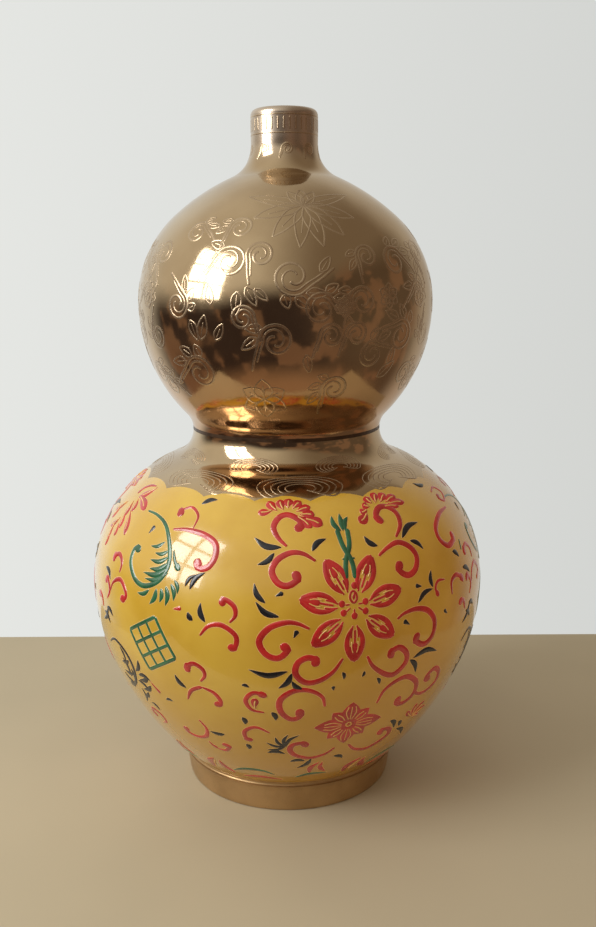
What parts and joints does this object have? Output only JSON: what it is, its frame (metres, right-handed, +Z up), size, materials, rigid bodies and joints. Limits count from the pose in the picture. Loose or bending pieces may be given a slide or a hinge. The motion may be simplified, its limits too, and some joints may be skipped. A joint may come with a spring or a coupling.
{
  "type": "gourd vase",
  "caption": "Double-gourd ceramic vase with a short narrow neck, two round bulbs joined at a pinched waist, and a turned foot ring.",
  "frame": {"origin": "centre of the foot's resting ring, on the plane that the vase stands on", "axes": "+Z up along the vase's axis, through the mouth; -Y faces the viewer of the front"},
  "size_m": [0.2034, 0.2034, 0.345],
  "materials": {
    "foot_gilt": "satin copper-brown gilding over glaze",
    "yellow_enamel": "glossy yellow enamel over glaze",
    "mirror_gilt": "mirror-bright burnished gold lustre over glaze",
    "slip": "smoothed fired slip",
    "red_enamel": "glossy red overglaze enamel of the painted pattern",
    "green_enamel": "glossy green overglaze enamel of the painted pattern",
    "black_enamel": "glossy blue-black overglaze enamel of the painted pattern",
    "pale_line": "pale raised outline of the painted pattern"
  },
  "bodies": {
    "root": {"foot_ring": "foot_gilt", "foot_slip_seam": "slip", "lower_bulb_bowl": "yellow_enamel", "lower_bulb_slip_seam": "slip", "lower_bulb_shoulder": "yellow_enamel", "waist_slip_seam": "slip", "upper_bulb_bowl": "mirror_gilt", "upper_bulb_slip_seam": "slip", "upper_bulb_dome": "mirror_gilt", "neck_slip_seam": "slip", "neck": "mirror_gilt"}
  },
  "joints": []
}
